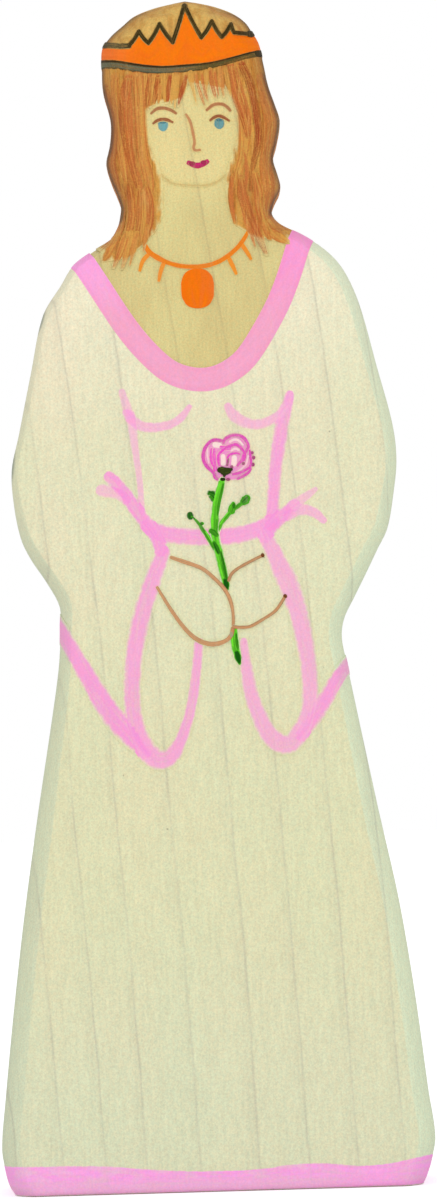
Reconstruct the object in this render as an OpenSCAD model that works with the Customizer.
// Standing wooden princess: one flat board, sawn to an outline, sanded round its edges, painted by hand.
// The front faces -Y and the figure stands on z = 0, with the middle of its base at the origin.
// Left and right are meant as seen from the front.
// Every coat of paint is a thin layer of its own, lying on the wood or on the coat below it.

/* [Figure] */
// Height of the whole figure
figure_h = 120; // [90:1:180]
// Width across the hem, where the figure is widest
hem_w = 43.8; // [34:0.1:60]
// Thickness of the board that the figure is sawn from
board_t = 20; // [12:0.5:30]
// How far the sanded edge reaches in from the outline
edge_w = 2.4; // [1:0.1:3.5]
// How far the sanded edge reaches back from the face
edge_d = 3; // [1:0.1:5]
// How far the foot is sanded in at the front and the back
foot_in = 0.9; // [0.2:0.1:2]
// Height of the sanded foot
foot_h = 3; // [1:0.1:6]

/* [Paint] */
// Thickness of one coat of paint
film = 0.12; // [0.05:0.01:0.3]
// Bare wood left above the base, so that no paint touches the table
foot_bare = 0.4; // [0.2:0.1:1.5]

/* [Gown trim] */
// Width of the pink band along the neckline
neckline_w = 2.3; // [1.2:0.1:3]
// Height of the pink band along the hem
hem_h = 2.9; // [1.5:0.1:8]
// Brush width of the left bodice line
left_bodice_w = 0.8; // [0.4:0.05:1.6]
// Brush width of the right bodice line
right_bodice_w = 1.1; // [0.4:0.05:1.6]
// Brush width of the left bust line
left_bust_w = 0.6; // [0.3:0.05:1.2]
// Brush width of the right bust line
right_bust_w = 0.85; // [0.3:0.05:1.2]
// Brush width of the waist band
waist_w = 1.35; // [0.6:0.05:2]
// Brush width of the left elbow folds
left_fold_w = 1.15; // [0.5:0.05:1.6]
// Brush width of the right elbow folds
right_fold_w = 1; // [0.5:0.05:1.6]
// Brush width of the left sleeve loop
left_loop_w = 1.25; // [0.6:0.05:1.8]
// Brush width of the right sleeve loop
right_loop_w = 1.45; // [0.6:0.05:1.8]
// Brush width of the left sleeve hem
left_sleeve_hem_w = 1.4; // [0.6:0.05:2]
// Brush width of the right sleeve hem
right_sleeve_hem_w = 1.2; // [0.6:0.05:2]

/* [Hands and rose] */
// Pen width of the hand outlines
hand_line_w = 0.36; // [0.2:0.02:0.6]
// Pen width of the petal lines
petal_line_w = 0.32; // [0.15:0.01:0.45]
// Brush width of the stem
stem_w = 0.72; // [0.3:0.02:1]
// Brush width of the twigs
twig_w = 0.5; // [0.25:0.01:0.7]
// Diameter of the bud at the tip of the left twig
bud_d = 0.75; // [0.4:0.05:1.2]
// Width of the dark calyx under the bloom
calyx_w = 1.45; // [0.6:0.05:2]
// Height of the calyx
calyx_h = 0.85; // [0.4:0.05:1.2]

/* [Face] */
// Pen width of the brows
brow_w = 0.27; // [0.15:0.01:0.45]
// Pen width of the upper eyelids
lid_w = 0.26; // [0.15:0.01:0.4]
// Width of an iris
iris_w = 1; // [0.6:0.05:1.4]
// Height of an iris
iris_h = 1.15; // [0.6:0.05:1.3]
// Pen width of the nose
nose_w = 0.2; // [0.12:0.01:0.4]
// Brush width of the lips
lip_w = 0.52; // [0.3:0.02:0.9]
// Pen width of the chin line
chin_w = 0.3; // [0.15:0.01:0.5]

/* [Necklace] */
// Brush width of the chain
chain_w = 0.45; // [0.25:0.01:0.7]
// Brush width of the small drops
drop_w = 0.45; // [0.25:0.01:0.6]
// Width of the pendant
pendant_w = 3.25; // [2:0.05:4]
// Height of the pendant
pendant_h = 3.95; // [2:0.05:4.6]

/* [Crown] */
// Pen width of the zigzag line along the points of the crown
crown_line_w = 0.48; // [0.25:0.01:0.7]
// Pen width of the line under the crown
crown_band_w = 0.72; // [0.4:0.02:1]

/* [Hair] */
// Brush width of the strokes in the locks
lock_brush_w = 1.1; // [0.5:0.05:1.5]
// Brush width of the strokes in the fringe
fringe_brush_w = 0.6; // [0.3:0.05:0.8]
// Brush width of the strokes down the back
back_brush_w = 1; // [0.5:0.05:1.4]
// Number of strokes down the back
back_stroke_n = 7; // [3:1:9]

/* [Hidden] */

// Colours of the wood and the paints
maple = "#e1ce93";
cream = "#e2dfb8";
pink = "#f6a6d0";
gold = "#f4710a";
ink = "#4b4230";
hair_tan = "#cd9a5c";
hair_red = "#b8683c";
skin_brown = "#be8250";
brow_brown = "#b6784a";
iris_blue = "#6ca3a4";
lip_red = "#c9285f";
petal_pink = "#faaad7";
petal_red = "#d746a5";
stem_green = "#56b12c";
calyx_green = "#434c19";

// Coats: what lies on bare wood, and what lies on a wash
on_wood = 0;
on_wash = 1;

// Steps along a curve, round a sanded edge, round a brush end and round a dab
curve_steps = 6;
edge_steps = 3;
cap_steps = 4;
round_steps = 28;
// Spare length that lets a cut run past what it cuts
overrun = 1;
// Most of a half width or half depth that a rounded edge may take
edge_limit_share = 0.95;

// Outline of the figure: height as a share of figure_h, left and right edges as shares of hem_w.
// The first row lies below the base, where the board is sawn off level.
outline_shares = [
    [-0.010, -0.465, 0.468], [0.000, -0.466, 0.469], [0.008, -0.478, 0.478], [0.020, -0.487, 0.489],
    [0.040, -0.495, 0.500], [0.080, -0.484, 0.487], [0.160, -0.457, 0.463], [0.240, -0.426, 0.432],
    [0.320, -0.390, 0.389], [0.400, -0.351, 0.348], [0.440, -0.333, 0.328], [0.462, -0.327, 0.318],
    [0.478, -0.325, 0.325], [0.495, -0.326, 0.349], [0.515, -0.354, 0.378], [0.535, -0.389, 0.406],
    [0.552, -0.410, 0.430], [0.580, -0.424, 0.446], [0.610, -0.427, 0.456], [0.640, -0.408, 0.449],
    [0.690, -0.377, 0.416], [0.740, -0.344, 0.382], [0.765, -0.300, 0.355], [0.780, -0.273, 0.328],
    [0.792, -0.229, 0.292], [0.802, -0.183, 0.249], [0.811, -0.165, 0.203], [0.820, -0.158, 0.185],
    [0.829, -0.156, 0.191], [0.841, -0.167, 0.206], [0.853, -0.180, 0.200], [0.866, -0.188, 0.191],
    [0.880, -0.178, 0.201], [0.897, -0.174, 0.209], [0.911, -0.180, 0.199], [0.927, -0.191, 0.185],
    [0.945, -0.192, 0.176], [0.962, -0.189, 0.166], [0.972, -0.170, 0.152], [0.981, -0.141, 0.136],
    [0.989, -0.113, 0.107], [0.995, -0.072, 0.069], [0.9985, -0.034, 0.036], [1.000, -0.012, 0.014]
];
knots = len(outline_shares);
LEFT = 1;
RIGHT = 2;

// Slope of one edge at a knot, taken across its two neighbours
function knot_slope(side, i) =
    let (a = outline_shares[max(i - 1, 0)], b = outline_shares[min(i + 1, knots - 1)])
    (b[side] - a[side]) / (b[0] - a[0]);

// Cubic curve of one edge from knot i to the next, at the fraction t of the way
function edge_share(side, i, t) =
    let (a = outline_shares[i], b = outline_shares[i + 1], rise = b[0] - a[0])
    a[side] * (1 + t * t * (2 * t - 3)) + b[side] * t * t * (3 - 2 * t)
    + rise * t * (1 - t) * (knot_slope(side, i) * (1 - t) - knot_slope(side, i + 1) * t);

// Bend of one edge between two knots, and the rows that it needs: a second row only where it bends
bend_limit_share = 0.012;
function bend_share(side, i) =
    abs(knot_slope(side, i + 1) - knot_slope(side, i)) * (outline_shares[i + 1][0] - outline_shares[i][0]);
function row_steps(i) = max(bend_share(LEFT, i), bend_share(RIGHT, i)) > bend_limit_share ? 2 : 1;

// Rows of the figure: height, left edge and right edge, as shares
row_shares = [
    for (i = [0 : knots - 2]) for (j = [0 : row_steps(i) - 1])
        let (t = j / row_steps(i), a = outline_shares[i][0], b = outline_shares[i + 1][0])
        [a + (b - a) * t, edge_share(LEFT, i, t), edge_share(RIGHT, i, t)],
    outline_shares[knots - 1]
];
rows = len(row_shares);

// How much wider a rounded edge grows, measured level, where the outline leans
function lean_share(side, r) =
    let (a = row_shares[max(r - 1, 0)], b = row_shares[min(r + 1, rows - 1)],
         lean = (b[side] - a[side]) * hem_w / ((b[0] - a[0]) * figure_h))
    sqrt(1 + lean * lean);

// Quarter round: how far it has dropped at the distance s from the end of a curve that is reach long
function round_drop(s, reach, drop) =
    s >= reach ? 0 : drop * (1 - sqrt(1 - pow(1 - max(s, 0) / reach, 2)));

// Elliptical corner of a row, turning a quarter circle from the angle a
function corner(x, y, rx, ry, a) =
    [for (k = [0 : edge_steps]) let (b = a + 90 * k / edge_steps) [x + rx * cos(b), y + ry * sin(b)]];

// Level section of the figure at row r, grown outwards for the coats of paint below
function section(r, grow) =
    let (z = row_shares[r][0] * figure_h,
         left = row_shares[r][LEFT] * hem_w - grow,
         right = row_shares[r][RIGHT] * hem_w + grow,
         half = (right - left) / 2,
         sanded = round_drop(figure_h - z, edge_w, edge_d) + round_drop(z, foot_h, foot_in),
         deep = board_t / 2 + grow - sanded,
         rl = min(edge_w * lean_share(LEFT, r) + grow, half * edge_limit_share),
         rr = min(edge_w * lean_share(RIGHT, r) + grow, half * edge_limit_share),
         rd = min(edge_d + grow, deep * edge_limit_share),
         up = row_shares[r][0] * (figure_h + grow))
    [for (p = concat(
        corner(right - rr, rd - deep, rr, rd, -90), corner(right - rr, deep - rd, rr, rd, 0),
        corner(left + rl, deep - rd, rl, rd, 90), corner(left + rl, rd - deep, rl, rd, 180)))
        [p[0], p[1], up]];

// The figure between two heights, given as shares, grown by the coats of paint below
module board(grow, low_share, high_share) {
    picked = [
        for (r = [0 : rows - 1]) if (row_shares[r][0] >= low_share && row_shares[r][0] <= high_share) r
    ];
    n = 4 * (edge_steps + 1);
    last = len(picked) - 1;
    sides = [
        for (i = [0 : last - 1]) for (k = [0 : n - 1])
            let (a = i * n + k, b = i * n + (k + 1) % n)
            each [[a, a + n, b + n], [a, b + n, b]]
    ];
    bottom = [for (k = [0 : n - 1]) k];
    top = [for (k = [0 : n - 1]) last * n + n - 1 - k];
    polyhedron([for (r = picked) each section(r, grow)], concat(sides, [bottom, top]));
}

// Brush paths: a table row is [across, up, press], as shares of hem_w, figure_h and the brush width.
function placed(shares) =
    [for (s = shares) [s[0] * hem_w, s[1] * figure_h, len(s) > 2 ? s[2] : 1]];

// Smooth curve through the points of a path
function curve_point(p, q, r, s, t) =
    q + t * ((r - p) + t * ((2 * p - 5 * q + 4 * r - s) + t * (3 * q - p - 3 * r + s))) / 2;
function smooth(path) =
    let (n = len(path) - 1)
    [for (i = [0 : n - 1]) for (j = [0 : curve_steps - 1])
        curve_point(path[max(i - 1, 0)], path[i], path[i + 1], path[min(i + 2, n)], j / curve_steps),
     path[n]];

// Heading of a path at station i, in degrees
function heading(path, i) =
    let (a = path[max(i - 1, 0)], b = path[min(i + 1, len(path) - 1)])
    atan2(b[1] - a[1], b[0] - a[0]);

// Point beside a path, at the angle turn from its heading and half a brush away
function beside(path, i, w, turn) =
    let (a = heading(path, i) + turn, d = w / 2 * path[i][2])
    [path[i][0] + d * cos(a), path[i][1] + d * sin(a)];

// One side of a stroke, and the whole stroke with its round ends
function stroke_side(path, w, turn) = [for (i = [0 : len(path) - 1]) beside(path, i, w, turn)];
function stroke_end(path, i, w, from) =
    [for (k = [1 : cap_steps - 1]) beside(path, i, w, from - 180 * k / cap_steps)];
function stroke(shares, w) =
    let (path = smooth(placed(shares)), n = len(path) - 1, right = stroke_side(path, w, -90))
    concat(stroke_side(path, w, 90), stroke_end(path, n, w, 90),
           [for (i = [0 : n]) right[n - i]], stroke_end(path, 0, w, -90));

// Round dab of paint, centred at a place given in shares
function dab(centre_shares, w, h) =
    [for (k = [0 : round_steps - 1]) let (a = 360 * k / round_steps)
        [centre_shares[0] * hem_w + w / 2 * cos(a), centre_shares[1] * figure_h + h / 2 * sin(a)]];

// Closed patch of paint with a smooth edge through the points of a table
function patch(shares) = [for (p = smooth(placed(shares))) [p[0], p[1]]];

// Outlines drawn as flat shapes, less the outlines painted over them
module shapes(outlines) {
    for (outline = outlines)
        polygon(outline);
}
module marks(outlines, over) {
    difference() {
        shapes(outlines);
        shapes(over);
    }
}

// Flat shape stood upright, with its thickness running from y = back forwards to y = front
module upright(front, back) {
    translate([0, back, 0])
        rotate([90, 0, 0])
            linear_extrude(back - front)
                children();
}

// Paint on the flat of the front
module front_film(coat) {
    face = -board_t / 2 - coat * film;
    upright(face - film, face)
        children();
}
module on_front(coat, outlines, over = []) {
    front_film(coat)
        marks(outlines, over);
}

// Paint that follows the rounded edges: a coat of film where the shape of the children crosses the figure
module on_round(coat, low_share, high_share) {
    difference() {
        intersection() {
            board((coat + 1) * film, low_share, high_share);
            children();
        }
        board(coat * film, low_share, high_share);
    }
}
skin_y = board_t / 2 + overrun;
side_y = board_t / 2 - edge_d;

// Heights between which each wrapped coat is worked
below_share = -1;
above_share = 1;
hem_high_share = 0.1;
sleeve_low_share = 0.31;
sleeve_high_share = 0.52;
hair_low_share = 0.6;
neckline_low_share = 0.63;
lock_low_share = 0.775;
lock_high_share = 0.963;
gown_high_share = 0.845;
crown_low_share = 0.925;

// The sawn and sanded blank
module wooden_figure() {
    color(maple)
        difference() {
            board(0, below_share, above_share);
            translate([-hem_w, -board_t, -figure_h])
                cube([2 * hem_w, 2 * board_t, figure_h]);
        }
}

// Neckline of the gown, from shoulder to shoulder, carried on past the outline at both ends
neckline_shares = [
    [-0.335, 0.822], [-0.257, 0.786], [-0.150, 0.724], [-0.075, 0.693], [-0.035, 0.685], [0.010, 0.6815],
    [0.050, 0.683], [0.090, 0.690], [0.125, 0.701], [0.190, 0.733], [0.256, 0.800], [0.290, 0.825]
];
neckline_path = smooth(placed(neckline_shares));
neckline = stroke(neckline_shares, neckline_w);

// Front of the hair: the locks, the fringe and the crown of the head, open round the face
hair_front_shares = [
    [-0.300, 0.806], [-0.215, 0.797], [-0.185, 0.780], [-0.165, 0.781], [-0.145, 0.782], [-0.121, 0.802],
    [-0.109, 0.791], [-0.099, 0.799], [-0.077, 0.815], [-0.075, 0.856], [-0.093, 0.875], [-0.098, 0.890],
    [-0.100, 0.910], [-0.080, 0.913], [-0.061, 0.919], [-0.045, 0.914], [-0.027, 0.914], [-0.010, 0.924],
    [0.000, 0.932], [0.023, 0.918], [0.045, 0.915], [0.058, 0.920], [0.076, 0.919], [0.094, 0.930],
    [0.117, 0.906], [0.120, 0.893], [0.105, 0.868], [0.088, 0.833], [0.101, 0.812], [0.117, 0.821],
    [0.140, 0.795], [0.165, 0.793], [0.180, 0.788], [0.192, 0.795], [0.208, 0.797], [0.218, 0.806],
    [0.300, 0.830], [0.300, 1.060], [-0.300, 1.060]
];
// Back of the hair, a mane that ends in a soft point between the shoulders
hair_back_shares = [
    [-0.300, 0.806], [-0.215, 0.797], [-0.195, 0.760], [-0.175, 0.710], [-0.140, 0.665], [-0.080, 0.632],
    [-0.040, 0.640], [0.000, 0.622], [0.040, 0.638], [0.085, 0.630], [0.145, 0.665], [0.185, 0.710],
    [0.205, 0.760], [0.218, 0.806], [0.300, 0.830], [0.300, 1.060], [-0.300, 1.060]
];
hair_front = patch(hair_front_shares);
hair_back = patch(hair_back_shares);

// Cream wash of the gown, up to the inner edge of the neckline in front and to the hair at the back
gown_top_share = 0.82;
gown_top = gown_top_share * figure_h;
gown_front = concat(
    [[-hem_w, foot_bare], [-hem_w, gown_top]], stroke_side(neckline_path, neckline_w, 90),
    [[hem_w, gown_top], [hem_w, foot_bare]]
);
gown_back = [[-hem_w, foot_bare], [-hem_w, gown_top], [hem_w, gown_top], [hem_w, foot_bare]];
module gown_wash() {
    color(cream)
        on_round(on_wood, below_share, gown_high_share)
            union() {
                upright(-skin_y, 0)
                    marks([gown_front], [hair_front]);
                upright(0, skin_y)
                    marks([gown_back], [hair_back]);
            }
}

// Brown wash of the hair
module hair_wash() {
    color(hair_tan)
        on_round(on_wood, hair_low_share, above_share)
            union() {
                upright(-skin_y, 0)
                    shapes([hair_front]);
                upright(0, skin_y)
                    shapes([hair_back]);
            }
}

// Face
left_brow_shares = [
    [-0.083, 0.9065, 0.7], [-0.070, 0.9100], [-0.055, 0.9106], [-0.040, 0.9090], [-0.027, 0.9060, 0.8]
];
right_brow_shares = [
    [0.045, 0.9080, 0.8], [0.057, 0.9115], [0.070, 0.9127],
    [0.083, 0.9120], [0.092, 0.9097], [0.098, 0.9070, 0.8]
];
left_lid_shares = [
    [-0.079, 0.8980, 0.7], [-0.070, 0.9005], [-0.057, 0.9018], [-0.045, 0.9007], [-0.035, 0.8985, 0.7]
];
right_lid_shares = [
    [0.052, 0.8992, 0.7], [0.060, 0.9015], [0.071, 0.9030], [0.083, 0.9015], [0.095, 0.8984, 0.7]
];
left_iris_shares = [-0.057, 0.8960];
right_iris_shares = [0.072, 0.8967];
nose_shares = [
    [-0.003, 0.9030, 0.8], [0.004, 0.8990], [0.009, 0.8940], [0.014, 0.8815],
    [0.012, 0.8770], [0.0135, 0.8750], [0.019, 0.8743], [0.026, 0.8746, 0.8]
];
lip_shares = [
    [0.000, 0.8637, 0.7], [0.009, 0.8615], [0.020, 0.8606, 1.1], [0.031, 0.8617], [0.042, 0.8640, 0.7]
];
chin_shares = [
    [-0.064, 0.8555, 0.5], [-0.050, 0.8500], [-0.030, 0.8465],
    [0.030, 0.8446], [0.060, 0.8470], [0.082, 0.8525, 0.5]
];
left_lid = stroke(left_lid_shares, lid_w);
right_lid = stroke(right_lid_shares, lid_w);
module left_brow() { color(brow_brown) on_front(on_wood, [stroke(left_brow_shares, brow_w)]); }
module right_brow() { color(brow_brown) on_front(on_wood, [stroke(right_brow_shares, brow_w)]); }
module left_eyelid() { color(brow_brown) on_front(on_wood, [left_lid]); }
module right_eyelid() { color(brow_brown) on_front(on_wood, [right_lid]); }
module left_iris() {
    color(iris_blue)
        on_front(on_wood, [dab(left_iris_shares, iris_w, iris_h)], [left_lid]);
}
module right_iris() {
    color(iris_blue)
        on_front(on_wood, [dab(right_iris_shares, iris_w, iris_h)], [right_lid]);
}
module nose_line() { color(brow_brown) on_front(on_wood, [stroke(nose_shares, nose_w)]); }
module lips() { color(lip_red) on_front(on_wood, [stroke(lip_shares, lip_w)]); }
module chin_line() { color(skin_brown) on_front(on_wood, [stroke(chin_shares, chin_w)], [hair_front]); }

// Necklace
chain_shares = [
    [-0.107, 0.7965, 0.9], [-0.092, 0.7885, 1.2], [-0.045, 0.7795], [0.010, 0.7767],
    [0.060, 0.7802], [0.105, 0.7915], [0.134, 0.8060, 0.8]
];
drop_shares = [
    [[-0.096, 0.7890], [-0.112, 0.7830], [-0.120, 0.7750, 0.7]],
    [[-0.063, 0.7815], [-0.071, 0.7750], [-0.077, 0.7660, 0.7]],
    [[0.083, 0.7845], [0.093, 0.7770], [0.101, 0.7700, 0.7]],
    [[0.115, 0.7950], [0.127, 0.7880], [0.136, 0.7820, 0.7]]
];
pendant_shares = [0.011, 0.7585];
chain = stroke(chain_shares, chain_w);
pendant_disc = dab(pendant_shares, pendant_w, pendant_h);
module necklace_chain() { color(gold) on_front(on_wood, [chain], [pendant_disc, hair_front]); }
module necklace_drops() {
    color(gold)
        on_front(
            on_wood, [for (drop = drop_shares) stroke(drop, drop_w)], [chain, pendant_disc, hair_front]
        );
}
module pendant() { color(gold) on_front(on_wood, [pendant_disc]); }

// Crown, carried right round the head
crown_zigzag_shares = [
    [-0.300, 0.9672], [-0.190, 0.9660], [-0.150, 0.9636], [-0.131, 0.9636],
    [-0.106, 0.9755], [-0.085, 0.9655], [-0.058, 0.9812], [-0.029, 0.9656],
    [0.000, 0.9965], [0.037, 0.9688], [0.062, 0.9822], [0.084, 0.9688],
    [0.106, 0.9795], [0.112, 0.9715], [0.150, 0.9715], [0.300, 0.9760]
];
crown_foot_shares = [
    [-0.300, 0.9480], [-0.193, 0.9470], [-0.140, 0.9457], [-0.060, 0.9415],
    [0.020, 0.9422], [0.140, 0.9510], [0.175, 0.9540, 1.3], [0.300, 0.9640, 1.3]
];
crown_points = [for (s = crown_zigzag_shares) [s[0] * hem_w, s[1] * figure_h]];
crown_foot = smooth(placed(crown_foot_shares));
crown_foot_line = stroke(crown_foot_shares, crown_band_w);
crown_field = concat(
    crown_points, [for (i = [len(crown_foot) - 1 : -1 : 0]) [crown_foot[i][0], crown_foot[i][1]]]
);

// Straight pen line from each point of the zigzag to the next, with round ends that join them
function line_between(a, b, w) =
    let (path = [[a[0], a[1], 1], [b[0], b[1], 1]])
    concat(stroke_side(path, w, 90), stroke_end(path, 1, w, 90),
           [beside(path, 1, w, -90), beside(path, 0, w, -90)], stroke_end(path, 0, w, -90));
crown_lines = [
    for (i = [1 : len(crown_points) - 1]) line_between(crown_points[i - 1], crown_points[i], crown_line_w)
];
module crown_gold() {
    color(gold)
        on_round(on_wash, crown_low_share, above_share)
            upright(-skin_y, skin_y)
                marks([crown_field], concat(crown_lines, [crown_foot_line]));
}
module crown_outline() {
    color(ink)
        on_round(on_wash, crown_low_share, above_share)
            upright(-skin_y, skin_y)
                marks(crown_lines, [crown_foot_line]);
}
module crown_band() {
    color(ink)
        on_round(on_wash, crown_low_share, above_share)
            upright(-skin_y, skin_y)
                shapes([crown_foot_line]);
}

// Strokes in the hair
fringe_shares = [
    [[-0.103, 0.9370, 0.8], [-0.100, 0.9270], [-0.094, 0.9170, 0.6]],
    [[-0.075, 0.9365, 0.8], [-0.082, 0.9280], [-0.086, 0.9180, 0.6]],
    [[-0.050, 0.9360, 0.8], [-0.057, 0.9290], [-0.066, 0.9220, 0.6]],
    [[-0.022, 0.9360, 0.8], [-0.028, 0.9270], [-0.035, 0.9180, 0.6]],
    [[-0.003, 0.9365, 0.6], [-0.010, 0.9320], [-0.016, 0.9260, 0.5]],
    [[0.026, 0.9370, 0.8], [0.025, 0.9290], [0.030, 0.9210, 0.6]],
    [[0.060, 0.9395, 0.8], [0.058, 0.9310], [0.055, 0.9240, 0.6]],
    [[0.083, 0.9415, 0.8], [0.086, 0.9350], [0.090, 0.9310, 0.6]]
];
left_lock_shares = [
    [[-0.132, 0.9370, 0.7], [-0.144, 0.9230, 1.3], [-0.145, 0.9050, 1.5],
     [-0.117, 0.8500, 0.9], [-0.114, 0.8350, 0.5]],
    [[-0.182, 0.9370, 0.8], [-0.168, 0.8950], [-0.167, 0.8700], [-0.160, 0.8530, 0.6]],
    [[-0.136, 0.8420, 0.6], [-0.138, 0.8250], [-0.147, 0.8080], [-0.163, 0.7920, 0.5]],
    [[-0.092, 0.8430, 0.6], [-0.088, 0.8270], [-0.104, 0.8000, 0.4]]
];
right_lock_shares = [
    [[0.130, 0.9440, 0.7], [0.147, 0.9280], [0.159, 0.9080], [0.162, 0.8900],
     [0.156, 0.8740], [0.143, 0.8620, 0.8], [0.138, 0.8460, 0.5]],
    [[0.104, 0.9400, 0.6], [0.114, 0.9240, 0.9], [0.129, 0.9060, 0.9], [0.134, 0.8900, 0.5]],
    [[0.119, 0.8480, 0.6], [0.122, 0.8340, 1.2], [0.135, 0.8190, 1.3], [0.170, 0.7930, 0.5]],
    [[0.184, 0.9130, 0.5], [0.190, 0.8950], [0.180, 0.8700], [0.183, 0.8450], [0.170, 0.8230, 0.5]]
];
// Share of the way across the back that a stroke lies from the middle, and where it starts and ends
back_spread_share = 0.11;
back_gather_share = 0.72;
back_top_share = 0.925;
back_end_share = 0.665;
back_rise_share = 0.12;
function back_stroke_shares(f) = [
    [f * back_spread_share * back_gather_share, back_top_share, 0.5],
    [f * back_spread_share, (3 * back_top_share + back_end_share) / 4],
    [f * back_spread_share * back_gather_share, (back_top_share + back_end_share) / 2],
    [f * back_spread_share, (back_top_share + 3 * back_end_share) / 4],
    [f * back_spread_share * back_gather_share, back_end_share + back_rise_share * f * f / 2, 0.4]
];
back_strokes = [
    for (k = [0 : back_stroke_n - 1])
        stroke(back_stroke_shares(2 * k / (back_stroke_n - 1) - 1), back_brush_w)
];
crown_shapes = concat([crown_field, crown_foot_line], crown_lines);
module hair_marks(table_shares, w) {
    intersection() {
        marks([for (row = table_shares) stroke(row, w)], crown_shapes);
        shapes([hair_front]);
    }
}
module lock_strokes(table_shares) {
    color(hair_red)
        on_round(on_wash, lock_low_share, lock_high_share)
            upright(-skin_y, -side_y)
                hair_marks(table_shares, lock_brush_w);
}
module left_lock_strokes() { lock_strokes(left_lock_shares); }
module right_lock_strokes() { lock_strokes(right_lock_shares); }
module fringe_strokes() {
    color(hair_red)
        front_film(on_wash)
            hair_marks(fringe_shares, fringe_brush_w);
}
module back_hair_strokes() {
    face = board_t / 2 + on_wash * film;
    color(hair_red)
        upright(face, face + film)
            marks(back_strokes, crown_shapes);
}

// Hands and rose, painted over the trim of the gown
left_hand_shares = [
    [-0.067, 0.5330], [-0.053, 0.5323], [0.012, 0.5198, 1.2], [0.062, 0.5000],
    [0.072, 0.4835], [0.060, 0.4662], [0.023, 0.4596], [0.000, 0.4607],
    [-0.022, 0.4655], [-0.042, 0.4745], [-0.100, 0.5080, 0.8]
];
right_hand_shares = [
    [[0.064, 0.5130, 0.9], [0.072, 0.5195], [0.085, 0.5240], [0.122, 0.5292], [0.143, 0.5328, 1.4]],
    [[0.071, 0.4738], [0.111, 0.4736], [0.170, 0.4868], [0.184, 0.4925], [0.192, 0.4983, 1.4]]
];
petal_shares = [
    [0.040, 0.6000], [0.022, 0.6070], [0.012, 0.6170], [0.020, 0.6260], [0.038, 0.6310],
    [0.055, 0.6285], [0.075, 0.6340], [0.095, 0.6350], [0.113, 0.6310], [0.119, 0.6240],
    [0.130, 0.6165], [0.128, 0.6090], [0.115, 0.6025], [0.095, 0.5985], [0.068, 0.5975]
];
petal_line_shares = [
    [[0.055, 0.6285, 0.8], [0.038, 0.6310], [0.020, 0.6260],
     [0.012, 0.6170], [0.022, 0.6070], [0.040, 0.6005, 0.8]],
    [[0.060, 0.6275, 0.8], [0.075, 0.6338], [0.095, 0.6348], [0.113, 0.6308], [0.117, 0.6240, 0.8]],
    [[0.117, 0.6240, 0.8], [0.130, 0.6165], [0.128, 0.6090],
     [0.115, 0.6025], [0.095, 0.5985], [0.072, 0.5975, 0.8]],
    [[0.031, 0.6220, 0.7], [0.030, 0.6130], [0.044, 0.6055, 0.7]],
    [[0.049, 0.6180, 0.7], [0.060, 0.6235], [0.077, 0.6268], [0.095, 0.6270],
     [0.106, 0.6215], [0.105, 0.6125], [0.096, 0.6060, 0.7]],
    [[0.064, 0.6100, 0.7], [0.072, 0.6170], [0.085, 0.6187], [0.094, 0.6140], [0.089, 0.6075, 0.7]]
];
calyx_shares = [0.062, 0.6043];
stem_shares = [
    [[0.058, 0.6035, 0.8], [0.044, 0.5850], [0.036, 0.5600], [0.040, 0.5405], [0.059, 0.5050, 0.8]],
    [[0.073, 0.4705, 0.9], [0.078, 0.4540], [0.085, 0.4425, 0.5]]
];
twig_shares = [
    [[0.036, 0.5525], [0.065, 0.5675], [0.080, 0.5740, 1.3], [0.095, 0.5780], [0.112, 0.5815, 1.2]],
    [[0.041, 0.5375], [-0.003, 0.5630, 1.2], [-0.014, 0.5670, 0.8]],
    [[0.046, 0.5875, 1.2], [0.033, 0.5868, 1.4], [0.021, 0.5872, 0.5]]
];
bud_shares = [-0.021, 0.5690];
left_hand = [stroke(left_hand_shares, hand_line_w)];
right_hand = [for (row = right_hand_shares) stroke(row, hand_line_w)];
petals = [patch(petal_shares)];
petal_lines = [for (row = petal_line_shares) stroke(row, petal_line_w)];
calyx = [dab(calyx_shares, calyx_w, calyx_h)];
stem = [for (row = stem_shares) stroke(row, stem_w)];
twigs = concat([for (row = twig_shares) stroke(row, twig_w)], [dab(bud_shares, bud_d, bud_d)]);
over_loops = concat(left_hand, right_hand, petals, petal_lines, calyx, stem, twigs);
module left_hand_outline() { color(skin_brown) on_front(on_wash, left_hand); }
module right_hand_outline() { color(skin_brown) on_front(on_wash, right_hand, left_hand); }
module rose_petals() {
    color(petal_pink)
        on_front(on_wash, petals, concat(petal_lines, calyx, stem, twigs));
}
module rose_lines() { color(petal_red) on_front(on_wash, petal_lines, concat(calyx, stem, twigs)); }
module rose_calyx() { color(calyx_green) on_front(on_wash, calyx); }
module rose_stem() { color(stem_green) on_front(on_wash, stem, concat(calyx, left_hand, right_hand)); }
module rose_twigs() { color(stem_green) on_front(on_wash, twigs, concat(calyx, stem)); }

// Pink trim of the gown, in the order in which it was painted: each stroke lies over those before it
left_bodice_shares = [
    [-0.171, 0.6740, 0.8], [-0.163, 0.6600, 1.1], [-0.141, 0.6100, 0.8], [-0.132, 0.5780, 0.7]
];
right_bodice_shares = [
    [0.215, 0.6650, 0.8], [0.195, 0.6350, 1.1], [0.173, 0.5880], [0.165, 0.5600, 0.8]
];
left_bust_shares = [
    [-0.158, 0.6550], [-0.140, 0.6475, 1.1], [-0.120, 0.6437, 1.1], [-0.090, 0.6430],
    [-0.060, 0.6452, 0.8], [-0.035, 0.6505, 0.7], [-0.016, 0.6590, 0.5]
];
right_bust_shares = [
    [0.075, 0.6580, 0.8], [0.085, 0.6518, 1.1], [0.101, 0.6470, 1.1],
    [0.140, 0.6436], [0.185, 0.6500, 0.8], [0.202, 0.6565, 0.7]
];
waist_shares = [
    [-0.120, 0.5605, 0.8], [-0.100, 0.5568], [-0.060, 0.5527],
    [0.015, 0.5502], [0.100, 0.5521], [0.168, 0.5605, 0.8]
];
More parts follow.
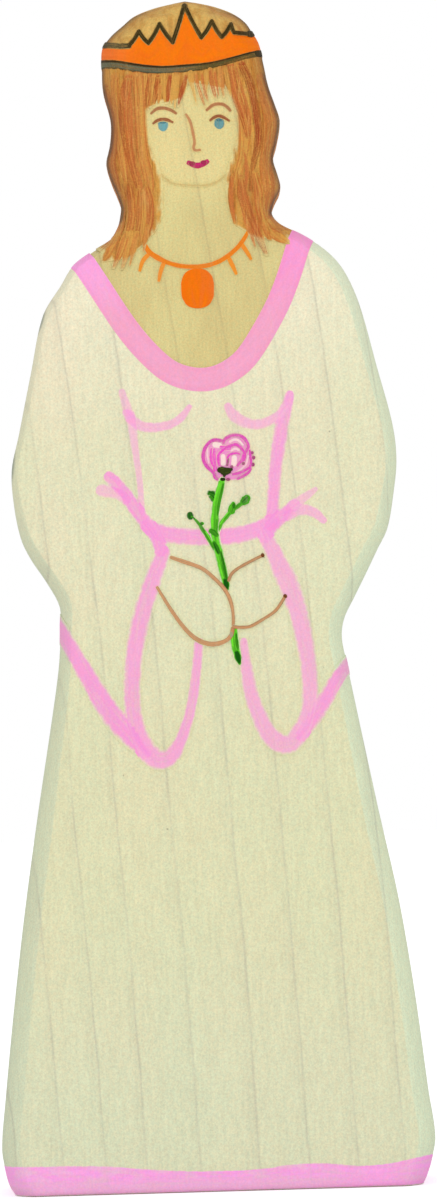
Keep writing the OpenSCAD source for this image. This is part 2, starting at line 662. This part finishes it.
left_fold_shares = [
    [[-0.205, 0.6030, 0.6], [-0.188, 0.5965], [-0.165, 0.5860, 1.1],
     [-0.141, 0.5715, 1.1], [-0.090, 0.5415, 0.8]],
    [[-0.221, 0.5910, 0.6], [-0.200, 0.5895, 0.8], [-0.170, 0.5880, 0.8]]
];
right_fold_shares = [
    [[0.142, 0.5440, 0.8], [0.165, 0.5565], [0.188, 0.5655], [0.210, 0.5710], [0.266, 0.5885, 0.6]],
    [[0.214, 0.5715, 0.8], [0.240, 0.5722, 0.8], [0.261, 0.5695, 0.8], [0.280, 0.5630, 0.6]]
];
left_loop_shares = [
    [-0.080, 0.5350, 0.8], [-0.110, 0.5160], [-0.140, 0.4840], [-0.160, 0.4490],
    [-0.166, 0.4110], [-0.150, 0.3820, 1.1], [-0.116, 0.3655, 1.1], [-0.080, 0.3675, 0.9],
    [-0.051, 0.3875, 0.7], [-0.030, 0.4180, 0.7], [-0.015, 0.4605, 0.5]
];
right_loop_shares = [
    [0.144, 0.5450, 0.8], [0.181, 0.5215, 1.1], [0.200, 0.5055, 1.1], [0.225, 0.4740], [0.240, 0.4350],
    [0.237, 0.4000], [0.206, 0.3785], [0.185, 0.3742], [0.164, 0.3770], [0.145, 0.3860],
    [0.115, 0.4130, 0.8], [0.100, 0.4430, 0.7], [0.096, 0.4610, 0.5]
];
left_sleeve_hem_shares = [
    [-0.380, 0.5180, 0.5], [-0.285, 0.4470, 0.8], [-0.210, 0.3995, 1.1], [-0.140, 0.3705, 0.8]
];
right_sleeve_hem_shares = [
    [0.385, 0.4660], [0.327, 0.4385], [0.257, 0.3980], [0.220, 0.3810, 0.8]
];
left_bodice = [stroke(left_bodice_shares, left_bodice_w)];
right_bodice = [stroke(right_bodice_shares, right_bodice_w)];
left_bust = [stroke(left_bust_shares, left_bust_w)];
right_bust = [stroke(right_bust_shares, right_bust_w)];
waist = [stroke(waist_shares, waist_w)];
left_folds = [for (row = left_fold_shares) stroke(row, left_fold_w)];
right_folds = [for (row = right_fold_shares) stroke(row, right_fold_w)];
left_loop = [stroke(left_loop_shares, left_loop_w)];
right_loop = [stroke(right_loop_shares, right_loop_w)];
over_folds = concat(left_loop, right_loop, over_loops);
over_waist = concat(left_folds, right_folds, over_folds);
over_bust = concat(waist, over_waist);
over_bodice = concat([neckline], left_bust, right_bust, over_bust);
module left_bodice_line() { color(pink) on_front(on_wash, left_bodice, over_bodice); }
module right_bodice_line() { color(pink) on_front(on_wash, right_bodice, over_bodice); }
module left_bust_line() { color(pink) on_front(on_wash, left_bust, over_bust); }
module right_bust_line() { color(pink) on_front(on_wash, right_bust, over_bust); }
module waist_band() { color(pink) on_front(on_wash, waist, over_waist); }
module left_elbow_folds() { color(pink) on_front(on_wash, left_folds, over_folds); }
module right_elbow_folds() { color(pink) on_front(on_wash, right_folds, over_folds); }
module left_sleeve_loop() { color(pink) on_front(on_wash, left_loop, over_loops); }
module right_sleeve_loop() { color(pink) on_front(on_wash, right_loop, over_loops); }

// Trim that is carried round the sanded edge
module left_sleeve_hem() {
    color(pink)
        on_round(on_wash, sleeve_low_share, sleeve_high_share)
            upright(-skin_y, side_y)
                marks([stroke(left_sleeve_hem_shares, left_sleeve_hem_w)], left_loop);
}
module right_sleeve_hem() {
    color(pink)
        on_round(on_wash, sleeve_low_share, sleeve_high_share)
            upright(-skin_y, side_y)
                marks([stroke(right_sleeve_hem_shares, right_sleeve_hem_w)], right_loop);
}
module neckline_band() {
    color(pink)
        on_round(on_wash, neckline_low_share, gown_high_share)
            union() {
                upright(-skin_y, 0)
                    marks([neckline], [hair_front]);
                upright(0, skin_y)
                    marks([neckline], [hair_back]);
            }
}

// Hem band: its top edge wavers, as shares of hem_w across and of hem_h up
hem_top_shares = [
    [-0.600, 1.05], [-0.497, 1.07], [-0.350, 1.07], [-0.250, 1.06], [-0.180, 1.00],
    [-0.100, 0.88], [0.000, 0.83], [0.100, 0.85], [0.200, 0.93], [0.260, 0.92],
    [0.330, 0.84], [0.400, 0.88], [0.450, 0.97], [0.497, 1.07], [0.600, 1.07]
];
hem_top = smooth([for (s = hem_top_shares) [s[0] * hem_w, foot_bare + s[1] * hem_h, 1]]);
hem = concat([[-hem_w, foot_bare]], [for (p = hem_top) [p[0], p[1]]], [[hem_w, foot_bare]]);
module hem_band() {
    color(pink)
        on_round(on_wash, below_share, hem_high_share)
            upright(-skin_y, skin_y)
                shapes([hem]);
}

wooden_figure();
gown_wash();
hair_wash();
left_brow();
right_brow();
left_eyelid();
right_eyelid();
left_iris();
right_iris();
nose_line();
lips();
chin_line();
necklace_chain();
necklace_drops();
pendant();
crown_gold();
crown_outline();
crown_band();
fringe_strokes();
left_lock_strokes();
right_lock_strokes();
back_hair_strokes();
neckline_band();
hem_band();
left_bodice_line();
right_bodice_line();
left_bust_line();
right_bust_line();
waist_band();
left_elbow_folds();
right_elbow_folds();
left_sleeve_loop();
right_sleeve_loop();
left_sleeve_hem();
right_sleeve_hem();
left_hand_outline();
right_hand_outline();
rose_petals();
rose_lines();
rose_calyx();
rose_stem();
rose_twigs();
